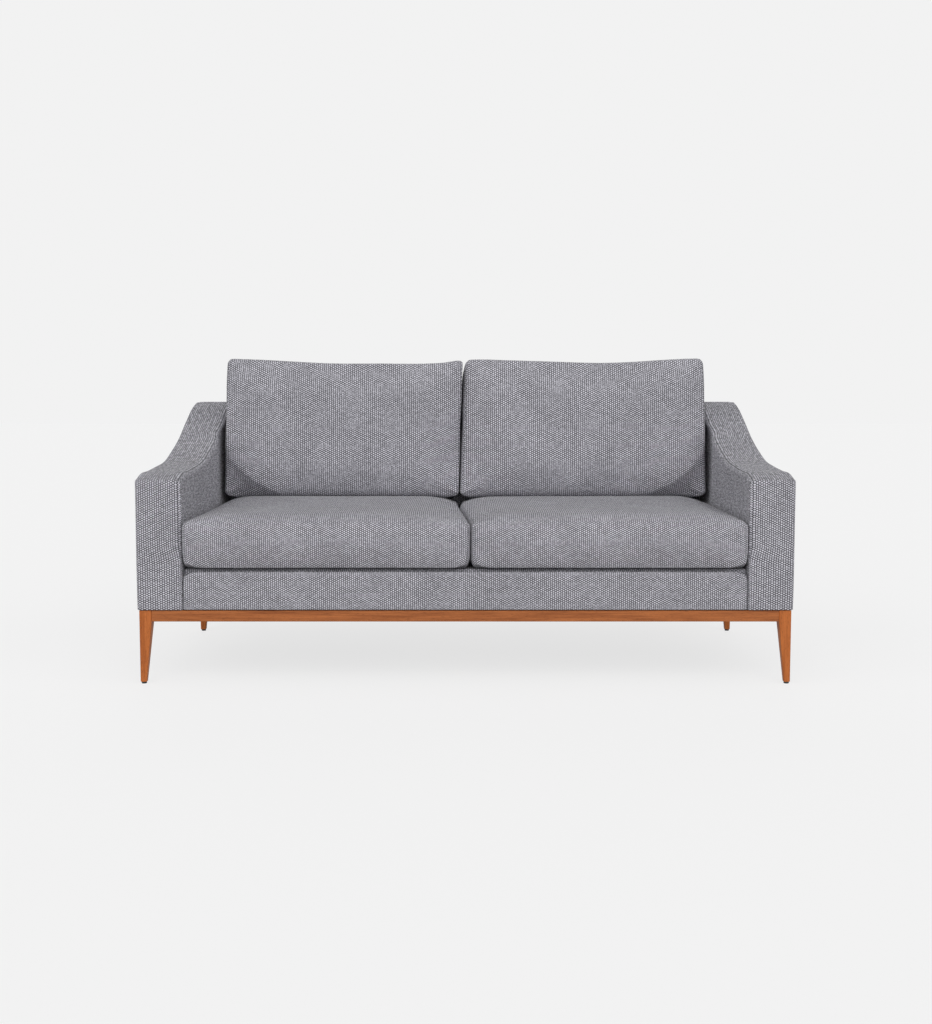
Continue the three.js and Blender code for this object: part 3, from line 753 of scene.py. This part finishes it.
def cushion_cover(name, size, crown, radius, draws, stretch, seed):
    """The filled cover of a cushion in its own flat frame. Its rear and its underside keep still."""
    block = rounded_block(size, radius, cushion_spacing)
    seam = side_seams(block)
    still = (block.steps[:, 1] == block.last[1]) | (block.steps[:, 2] == 0)
    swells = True
    points = cushion_form(block, crown * (swell_start_share if swells else 1), *draws)
    piece = mesh_piece(name, points, block.faces, wrapped_cloth(block, stretch), seam)
    set_weight(piece.data, "free", ~still)
    if swells:
        swell(piece, still | (seam > 0))
    refine(piece)
    mesh = piece.data
    push_out(mesh, -cushion_seam_depth * weight_of(mesh, "seam") ** 2)
    points = points_of(mesh)
    soft = sum(unevenness(points, scale, seed + shift) * height for scale, height, shift in cushion_waves)
    push_out(mesh, soft * weight_of(mesh, "free"))
    return piece


def lean_to_part(piece, points, part, outer, stretch):
    """Moves a cushion's inner side to the line where the two part, and keeps its cloth's columns straight."""
    shift = np.clip(1 - np.abs(points[:, 0]) / outer, 0, 1) * part
    points[:, 0] += shift
    mesh = piece.data
    corners = np.zeros(len(mesh.loops), int)
    mesh.loops.foreach_get("vertex_index", corners)
    weave = np.zeros(len(mesh.loops) * 2, np.float32)
    layer = mesh.uv_layers["weave"].uv
    layer.foreach_get("vector", weave)
    weave[::2] += (shift / stretch)[corners]
    layer.foreach_set("vector", weave)


def keep_from_part(points, side, part, gap):
    """Keeps a cushion's points at least the gap away from the line where the two part."""
    past = side * (points[:, 0] - part)
    points[:, 0] = np.where(past < gap, part + side * gap, points[:, 0])


def flare_foot(points, side, size):
    """Spreads a back cushion's outer side towards its foot, fills out its inner side and dips its head."""
    across, along, up = (points / (np.array(size) / 2)).T
    out = np.clip(side * across, 0, 1)
    points[:, 0] += side * out * np.interp(along, back_side_height_shares, back_side_flares)
    panel = np.sqrt(np.clip(1 - along**2, 0, None) * np.clip(1 - up**2, 0, None))
    points[:, 0] -= side * back_inner_bulge * np.clip(-side * across, 0, 1) ** back_inner_power * panel
    shares, drops = (np.array(values) for values in back_head_lines[side])
    points[:, 1] -= line_through(side * across, shares, drops) * np.clip(along, 0, 1)
    return points


def pinch_corner(points, side, size):
    """Sinks the lower outer corner of a back cushion's face, in the cushion's own flat frame."""
    from_side = np.clip(size[0] / 2 - side * points[:, 0], 0, None)
    from_foot = np.clip(points[:, 1] + size[1] / 2, 0, None)
    reach = (from_side / back_corner_width) ** back_corner_power
    reach += (from_foot / back_corner_height) ** back_corner_power
    depth = back_corner_pinch * (1 - np.exp(-np.clip(1 - reach, 0, None) / back_corner_softness))
    depth *= np.clip(from_side / back_corner_side, 0, 1) * (1 - back_corner_floor) + back_corner_floor
    points[:, 2] -= depth * np.clip(points[:, 2] / size[2] + 0.5, 0, 1)
    return points


def seat_cushion(side, name, seed):
    """A seat cushion: it lies on the deck, and its inner side runs askew as in the photograph."""
    node = name + "_cover"
    low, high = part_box(node)
    centre, size, _ = cushion_place(node, 0, seat_thickness, tape_axis=1)
    draws = (0, seat_front_draw)
    piece = cushion_cover(name + "_cloth", size, seat_crown, seat_radius, draws, 1, seed)
    points = points_of(piece.data) + centre
    x, y, z = points.T
    outer = max(abs(low.x), abs(high.x))
    part = np.interp(y, (low.y, low.y + seat_part_depth), (seat_part_front, seat_part_rear))
    lean_to_part(piece, points, part, outer, 1)
    from_front = y - low.y
    rear = np.clip(from_front / seat_rear_depth - 1, 0, 1)
    z += seat_rear_lift * rear * np.clip((z - low.z) / seat_thickness, 0, 1)
    nose = np.clip(1 - from_front / seat_nose_reach, 0, 1)
    from_side = np.minimum(outer - side * x, side * (x - part))
    corner = np.hypot(from_front, from_side) / seat_corner_reach
    foot = low.z + seat_nose_lift * np.sqrt(nose) + seat_corner_lift * np.exp(-(corner**2))
    from_foot = (z - low.z) / seat_corner_reach
    z[:] = np.maximum(z, foot)
    inward = np.where(outer - side * x < outer / 2, -side, side)
    x += inward * seat_corner_draw * np.exp(-(corner**2) - from_foot**2)
    x[:] = np.clip(x, -outer, outer)
    keep_from_part(points, side, part, clearance)
    place_points(piece.data, points)
    upholster(piece, name, node)
    return piece


def surface_tree(pieces):
    """One search tree over several pieces."""
    points = []
    faces = []
    for piece in pieces:
        base = len(points)
        points += [vertex.co.copy() for vertex in piece.data.vertices]
        faces += [[base + index for index in face.vertices] for face in piece.data.polygons]
    return BVHTree.FromPolygons(points, faces)


def rest_on(points, tree, reach, top):
    """Lifts each low point clear of the surface it stands on."""
    for index in np.flatnonzero(points[:, 2] < reach):
        x, y, z = points[index]
        hit = tree.ray_cast(Vector((x, y, top)), Vector((0, 0, -1)))[0]
        if hit is not None:
            points[index, 2] = max(z, hit.z + clearance)


def back_cushion(side, name, seats, seed):
    """A back cushion: it stands on the seat cushions, leans back, and its foot follows their crown."""
    node = name + "_cover"
    low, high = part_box(node)
    centre, size, _ = cushion_place(node, back_angle, back_thickness, tape_axis=2)
    draws = (back_side_draw, 0)
    piece = cushion_cover(name + "_cloth", size, back_crown, back_radius, draws, back_stretch, seed)
    points = flare_foot(points_of(piece.data), side, size)
    points = turned(pinch_corner(points, side, size) + centre, -back_angle)
    x, y, z = points.T
    part = np.interp(z, (low.z, high.z), (back_part_foot, back_part_head))
    lean_to_part(piece, points, part, max(abs(low.x), abs(high.x)), back_stretch)
    depth = (y - low.y) / (high.y - low.y)
    gap = back_gap_floor + back_gap * np.exp(-(((z - back_gap_height) / back_gap_reach) ** 2))
    keep_from_part(points, side, part - back_gap_slant * depth, gap)
    x[:] = np.clip(x, -arm_inner, arm_inner)
    rest_on(points, seats, low.z + back_foot_reach, high.z)
    place_points(piece.data, points)
    upholster(piece, name, node)
    return piece


def cushion_core(name, cover, angle, thickness):
    """The foam inside a cushion: a block of its own, pressed in wherever the cover would come too near."""
    node = name + "_core"
    centre, size, crown = cushion_place(node, angle, thickness)
    block = rounded_block(size, core_radius, core_spacing)
    form = cushion_form(block, crown)
    piece = mesh_piece(name + "_foam", turned(form + centre, -angle), block.faces)
    refine(piece)
    tree = surface_tree([cover])
    points = points_of(piece.data)
    for index, point in enumerate(points):
        nearest, normal = tree.find_nearest(Vector(point))[:2]
        if (nearest - Vector(point)).dot(normal) < core_inset:
            points[index] = nearest - normal * core_inset
    place_points(piece.data, points)
    dress(piece, foam, "cushion_core", name, node)


def merged(name, parts):
    """One mesh of several: each part is points and faces."""
    points = []
    faces = []
    base = 0
    for part_points, part_faces in parts:
        points.append(part_points)
        faces.append(part_faces + base)
        base += len(part_points)
    return mesh_piece(name, np.concatenate(points), np.concatenate(faces))


def zip_fastener(name, angle, tape_axis, thickness):
    """The zip on a cushion's rear: two woven tapes, and a row of teeth on each side of the slider's way."""
    centre, size, _ = cushion_place(name + "_cover", angle, thickness, tape_axis)
    if tape_axis == 1:
        turn = 0
        middle = np.array([0, size[1] / 2, 0])
    else:
        turn = math.pi / 2
        middle = np.array([0, back_zip_height - size[1] / 2, -size[2] / 2])
    tapes = []
    teeth = []
    tape_size = (zip_length + zip_tape_width, zip_tape_height, zip_tape_width / 2)
    tape = rounded_block(tape_size, zip_tape_edge, zip_spacing, 1)
    tooth = rounded_block(zip_tooth_size, zip_tooth_edge, zip_spacing, 1)
    count = round(zip_length / zip_pitch)
    for edge in (-1, 1):
        out = edge * (zip_channel / 2 + zip_tape_width / 4)
        tapes.append((tape.points + (0, zip_tape_height / 4, out), tape.faces))
        for step in range(count):
            x = (step + 0.5) * zip_pitch - zip_length / 2
            offset = (x, zip_tape_height * 2 / 3, edge * (zip_channel + zip_tooth_size[2]) / 2)
            teeth.append((tooth.points + offset, tooth.faces))
    for label, parts, material, slot in (
        ("_zip_tape", tapes, strap_weave, "webbing"),
        ("_zip_teeth", teeth, black_plastic, "glide_plastic"),
    ):
        piece = merged(name + label, parts)
        points = turned(points_of(piece.data), turn) + middle + centre
        place_points(piece.data, turned(points, -angle))
        dress(piece, material, slot, name)


# The body

def edge_resized(inward, size, radius, wanted):
    """Distances inward from a face of a rounded block, with the edge there given another radius."""
    straight = (size - wanted) / (size - radius)
    return np.where(inward < radius, inward * wanted / radius, wanted + (inward - radius) * straight)


def arm_top_line(node):
    """The height of an arm's top along its depth, read from its solid."""
    points = points_of(nodes[node].data)
    front = points[:, 1].min() + arm_radius * 1.05
    depths = np.unique(np.round(points[points[:, 1] > front][:, 1], 4))
    tops = np.array([points[np.abs(points[:, 1] - y) < 1e-4][:, 2].max() for y in depths])
    keep = np.concatenate([[True], np.diff(depths) > arm_radius / 2])
    return depths[keep], tops[keep]


def arm_weave(block, points, side, low):
    """An arm's cloth coordinates: up the front and along the sweep. The sides' columns run on round it."""
    middle = block.steps[:, 0] == block.last[0] // 2
    front = points[middle & (block.steps[:, 1] == 0)]
    upper = points[middle & (block.steps[:, 2] == block.last[2])]
    run = np.linalg.norm(np.diff(np.concatenate([front, upper[1:]]), axis=0), axis=1)
    run = low.z + np.concatenate([[0], np.cumsum(run)])
    corner = points[block.faces]
    axis = block.axis[:, None]
    high_side = block.high[:, None]
    side_reach = block.arc[0][-1]
    round_side = np.where(high_side, 1, -1) * (side_reach + corner[..., 1] - low.y)
    across = np.where(axis == 0, round_side, block.arc[0][block.corners[..., 0]])
    across += side * side_reach + column_pitch * arm_stretch / 2
    on_top = run[len(front) - 1 :][block.corners[..., 1]]
    on_front = run[: len(front)][block.corners[..., 2]]
    level = np.where((axis == 1) & ~high_side, on_front, corner[..., 2])
    along = np.where(axis == 2, np.where(high_side, on_top, corner[..., 1]), level)
    return np.stack([across, along], 2) / arm_stretch


def arm(side, name):
    """An arm's cover: a strip up the front and along the sweep, sewn between an inner and an outer side."""
    node = name + "_cover"
    low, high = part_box(node)
    size = np.array(high - low)
    centre = np.array((low + high) / 2)
    known_depth, known_top = arm_top_line(node)
    block = rounded_block(size, arm_radius, cover_spacing)
    half = size / 2
    flat_x, flat_y, flat_z = block.points.T
    share_in = 0.5 - side * flat_x / size[0]
    from_outer = edge_resized(half[0] - side * flat_x, size[0], arm_radius, arm_outer_edge)
    above_seat = np.clip((flat_z + centre[2] - arm_low_top) / arm_low_fade, 0, 1)
    inner_edge = arm_low_edge + (arm_inner_edge - arm_low_edge) * above_seat
    from_inner = edge_resized(size[0] - from_outer, size[0], arm_radius, inner_edge)
    front_edge = arm_outer_edge + (arm_front_edge - arm_outer_edge) * share_in * above_seat
    from_front = edge_resized(flat_y + half[1], size[1], arm_radius, front_edge)
    top_edge = arm_outer_edge + (arm_inner_edge - arm_outer_edge) * share_in
    points = np.stack([side * (from_inner - half[0]), from_front - half[1], flat_z], 1) + centre
    x, y, z = points.T
    top = line_through(y, known_depth, known_top)
    up = edge_resized(z - low.z, size[2], arm_radius, foot_edge)
    up = size[2] - edge_resized(size[2] - up, size[2], arm_radius, top_edge)
    body = size[2] - top_edge
    share, middle = shares_of(block)
    z[:] = np.where(up > body, top - size[2] + up, low.z + up * (top - top_edge - low.z) / body)
    z += np.where(share[2] > 0.9, middle[0] * arm_top_bulge, 0)
    x += np.where(side * share[0] > 0.9, side * arm_bulge * np.sqrt(middle[1] * middle[2]), 0)
    y -= np.where(share[1] < -0.9, arm_bulge * np.sqrt(middle[0] * middle[2]), 0)
    recess = arm_recess * np.clip((y - arm_recess_front) / arm_recess_run, 0, 1)
    x += side * share_in * recess * np.clip((arm_recess_top - z) / arm_recess_fade, 0, 1)
    # On the arms the seam weight only sets how much shade is painted along the seams.
    seam = side_seams(block) * arm_seam_painted_shade
    piece = mesh_piece(name + "_cloth", points, block.faces, arm_weave(block, points, side, low), seam)
    refine(piece)
    mesh = piece.data
    push_out(mesh, unevenness(points_of(mesh), arm_wave_scale, 3 + side) * arm_wave_height)
    points = points_of(mesh)
    x, y, z = points.T
    inner = abs(centre[0]) - half[0]
    x[:] = np.where(side * x < inner, side * inner, x)
    y[:] = np.minimum(y, high.y)
    z[:] = np.maximum(z, low.z)
    place_points(mesh, points)
    upholster(piece, "frame", node, arm_cloth)


def padded_board(name, node, radius, bulge=0, drop=0, fall=0, end_drop=0, end_draw=0):
    """A rounded block in a node's place, whose front swells and whose top sinks behind and at its ends."""
    low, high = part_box(node)
    high.z -= drop
    block = rounded_block(high - low, radius, cover_spacing)
    share, middle = shares_of(block)
    points = block.points + np.array((low + high) / 2)
    x, y, z = points.T
    y -= np.where(share[1] < -0.5, bulge * (middle[0] * middle[2]) ** border_bulge_power, 0)
    z[:] = low.z + edge_resized(z - low.z, block.size[2], radius, foot_edge)
    up = np.clip(share[2], 0, 1)
    ends = np.exp(-(((high.x - np.abs(x)) / border_end_reach) ** 2))
    z -= (end_drop * ends + fall * (1 + share[1]) / 2) * up**border_drop_power
    x -= np.sign(x) * end_draw * ends * up**border_draw_power
    piece = mesh_piece(name, points, block.faces, wrapped_cloth(block))
    refine(piece)
    upholster(piece, "frame", node)


def resampled(outline, spacing):
    """A closed outline with points no further apart than the spacing."""
    points = []
    for start, end in zip(outline, outline[1:] + outline[:1]):
        start = np.array(start)
        end = np.array(end)
        count = max(1, math.ceil(np.linalg.norm(end - start) / spacing))
        points += [start + (end - start) * step / count for step in range(count)]
    return np.array(points)


def inside_back():
    """The padded inside back: it leans back from the deck and laps over the top of the frame."""
    low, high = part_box("inside_back_cover")
    lean = 1 / math.tan(back_angle)
    head = low.y + (high.z - low.z) * lean
    frame_face = head + back_pad_thickness
    outline = [(low.y, low.z), (head - back_pad_radius * lean, high.z - back_pad_radius)]
    for step in range(1, back_pad_arc_steps + 1):
        angle = math.pi - step / back_pad_arc_steps * math.pi / 2
        y = head + back_pad_radius * (1 + math.cos(angle))
        outline.append((y, high.z - back_pad_radius * (1 - math.sin(angle))))
    lap = high.z - back_pad_thickness
    outline += [(high.y, high.z), (high.y, lap), (frame_face, lap), (frame_face, low.z)]
    ring = resampled(outline, back_spacing)
    stations = np.linspace(low.x, high.x, round((high.x - low.x) / back_spacing) + 1)
    share_x = (stations / high.x)[:, None]
    share_z = np.clip((ring[:, 1] - low.z) / (high.z - low.z) * 2 - 1, -1, 1)
    on_front = np.isclose(ring[:, 0], low.y + (ring[:, 1] - low.z) * lean, atol=0.002)
    swell_out = back_bulge * ((1 - share_x**2) * (1 - share_z**2)) ** 0.5 * on_front
    x, y = np.meshgrid(stations, ring[:, 0], indexing="ij")
    points = np.stack([x, y - swell_out, x * 0 + ring[:, 1]], 2)
    around = np.concatenate([[0], np.cumsum(np.linalg.norm(np.diff(ring, axis=0, append=ring[:1]), axis=1))])
    index = np.arange(points[..., 0].size).reshape(len(stations), len(ring))
    faces = [*quads_of(np.hstack([index, index[:, :1]])).reshape(-1, 4), index[0], index[-1, ::-1]]
    wrapped = quads_of(np.stack(np.meshgrid(stations, around, indexing="ij"), 2)).reshape(-1, 2)
    weave = np.concatenate([wrapped, ring, ring[::-1]])
    piece = mesh_piece("inside_back_cloth", points.reshape(-1, 3), faces, weave)
    upholster(piece, "frame", "inside_back_cover")


def outside_back():
    """The outside back: one taut panel with rounded upper corners, over the frame and both arms."""
    low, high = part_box("outside_back_cover")
    block = rounded_block(high - low, outside_back_edge, back_spacing, 2)
    share, middle = shares_of(block)
    points = block.points + np.array((low + high) / 2)
    x, y, z = points.T
    bulge = outside_back_bulge * (middle[0] * middle[2]) ** outside_back_bulge_power
    y += np.where(share[1] > 0.3, bulge, 0)
    corner_x = high.x - outside_back_corner
    corner_z = high.z - outside_back_corner
    from_side = np.abs(x) - corner_x
    from_top = z - corner_z
    in_corner = (from_side > 0) & (from_top > 0)
    pull = np.maximum(from_side, from_top) / np.maximum(np.hypot(from_side, from_top), 1e-9)
    x[:] = np.where(in_corner, np.sign(x) * (corner_x + from_side * pull), x)
    z[:] = np.where(in_corner, corner_z + from_top * pull, z)
    piece = mesh_piece("outside_back_cloth", points, block.faces, wrapped_cloth(block))
    refine(piece)
    upholster(piece, "frame", "outside_back_cover")


def dust_sheet():
    """The thin cloth under the body, which sags a little in the two bays of the plinth."""
    low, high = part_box("dust_cover")
    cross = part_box("plinth_cross_rail")[1].x
    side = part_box("right_plinth_rail")[0].x
    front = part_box("front_plinth_rail")[1].y
    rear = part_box("rear_plinth_rail")[0].y
    xs = np.linspace(low.x, high.x, dust_lines[0])
    ys = np.linspace(low.y, high.y, dust_lines[1])
    x, y = np.meshgrid(xs, ys, indexing="ij")
    bay = np.clip((np.abs(x) - cross) / (side - cross), 0, 1)
    depth = np.clip((y - front) / (rear - front), 0, 1)
    drop = dust_sag * (np.sin(math.pi * bay) * np.sin(math.pi * depth)) ** dust_sag_power
    level = (low.z + high.z) / 2 - drop
    half = dust_thickness / 2
    sheets = [np.stack([x, y, level + edge], 2).reshape(-1, 3) for edge in (-half, half)]
    count = x.size
    index = np.arange(count).reshape(x.shape)
    quads = quads_of(index).reshape(-1, 4)
    rim = np.concatenate([index[:, 0], index[-1, 1:], index[-2::-1, -1], index[0, -2:0:-1]])
    following = np.roll(rim, -1)
    walls = np.stack([rim, following, following + count, rim + count], 1)
    faces = np.concatenate([quads[:, ::-1], quads + count, walls])
    piece = mesh_piece("dust_sheet", np.concatenate(sheets), faces)
    dress(piece, dust_weave, "dust_cloth", "frame", "dust_cover")


def glide(corner):
    """A turned glide under a leg, with rounded edges."""
    node = corner + "_glide"
    low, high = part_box(node)
    centre = (low + high) / 2
    radius = (high.x - low.x) / 2 - glide_edge
    profile = []
    for start, base in ((-90, glide_edge), (0, glide_height - glide_edge)):
        for angle in np.radians(np.linspace(start, start + 90, glide_arc_points)):
            profile.append((radius + glide_edge * math.cos(angle), base + glide_edge * math.sin(angle)))
    profile += [(glide_stem, glide_height), (glide_stem, high.z)]
    turn = np.arange(glide_sides) / glide_sides * math.tau
    points = [(centre.x, centre.y, 0)]
    for reach, height in profile:
        ring = [centre.x + reach * np.cos(turn), centre.y + reach * np.sin(turn), turn * 0 + height]
        points += list(np.stack(ring, 1))
    points.append((centre.x, centre.y, high.z))
    index = 1 + np.arange(len(profile) * glide_sides).reshape(len(profile), glide_sides)
    index = np.hstack([index, index[:, :1]])
    faces = list(quads_of(index).reshape(-1, 4)[:, ::-1])
    faces += [(0, b, a) for a, b in zip(index[0], index[0, 1:])]
    faces += [(a, b, len(points) - 1) for a, b in zip(index[-1], index[-1, 1:])]
    piece = mesh_piece(node + "_turned", points, faces)
    dress(piece, black_plastic, "glide_plastic", "frame", node)


# Stage, light and camera

def floor():
    """A floor that throws back little light, yet looks pale, and keeps a light shadow."""
    s = Shading("pale_floor")
    corners = [(x * floor_reach, y * floor_reach, 0) for x, y in ((-1, -1), (1, -1), (1, 1), (-1, 1))]
    piece = mesh_piece("floor", corners, [(0, 1, 2, 3)])
    piece.data.materials.append(s.surface(colour=grey(floor_bounce), roughness=1, specular=0))
    open_light = dome_strength + sum(item[1] * Vector(item[2]).normalized().z for item in lamps) / math.pi
    lit_part = floor_shadow_share * floor_bounce * open_light
    glow = s.add("Emission", {"Strength": (floor_colour - lit_part) / (1 - floor_shadow_share)})
    lit = s.times(s.seen_share(), 1 - floor_shadow_share)
    mix = s.add("MixShader", {"Fac": lit, 1: s.shader.outputs["BSDF"], 2: glow.outputs[0]})
    s.feed(s.output.inputs["Surface"], mix.outputs[0])


def light():
    """An even dome, and wide, soft lamps from in front and from both sides."""
    world = bpy.data.worlds.new("studio")
    bpy.context.scene.world = world
    s = Nodes(world)
    dome = s.add("Background", {"Color": grey(1), "Strength": dome_strength})
    seen = s.add("Background", {"Color": grey(floor_colour)})
    mix = s.add("MixShader", {"Fac": s.seen_share(), 1: dome.outputs[0], 2: seen.outputs[0]})
    s.add("OutputWorld", {"Surface": mix.outputs[0]})
    for name, strength, towards in lamps:
        sun = bpy.data.lights.new(name, "SUN")
        sun.energy = strength
        sun.angle = lamp_angle
        lamp = bpy.data.objects.new(name, sun)
        lamp.rotation_euler = Vector(towards).to_track_quat("Z", "Y").to_euler()
        bpy.context.scene.collection.objects.link(lamp)


def camera():
    """The photograph's camera."""
    lens = bpy.data.cameras.new("camera")
    lens.sensor_width = sensor_size
    lens.lens = focal_pixels / image_height * sensor_size
    lens.shift_x = (image_width / 2 - centre_pixel_x) / image_height
    holder = bpy.data.objects.new("camera", lens)
    holder.location = (0, -camera_distance, camera_height)
    holder.rotation_euler = (math.pi / 2 - math.atan(level_pixels / focal_pixels), 0, 0)
    bpy.context.scene.collection.objects.link(holder)
    bpy.context.scene.camera = holder


bpy.context.scene.view_settings.view_transform = "Standard"
camera()
light()
floor()
finish_frame()
covers = {
    "left_seat_cushion": seat_cushion(-1, "left_seat_cushion", 11),
    "right_seat_cushion": seat_cushion(1, "right_seat_cushion", 23),
}
seats = surface_tree(covers.values())
covers["left_back_cushion"] = back_cushion(-1, "left_back_cushion", seats, 37)
covers["right_back_cushion"] = back_cushion(1, "right_back_cushion", seats, 51)
for name, cover in covers.items():
    seat = "seat" in name
    angle = 0 if seat else back_angle
    thickness = seat_thickness if seat else back_thickness
    cushion_core(name, cover, angle, thickness - 2 * core_inset)
    zip_fastener(name, angle, 1 if seat else 2, thickness)
arm(-1, "left_arm")
arm(1, "right_arm")
padded_board("front_border_cloth", "front_border", border_radius, border_bulge, border_drop, border_fall,
             border_end_drop, border_end_draw)
padded_board("seat_deck_cloth", "seat_deck", deck_radius)
inside_back()
outside_back()
dust_sheet()
for corner in ("front_left", "front_right", "rear_left", "rear_right"):
    glide(corner)
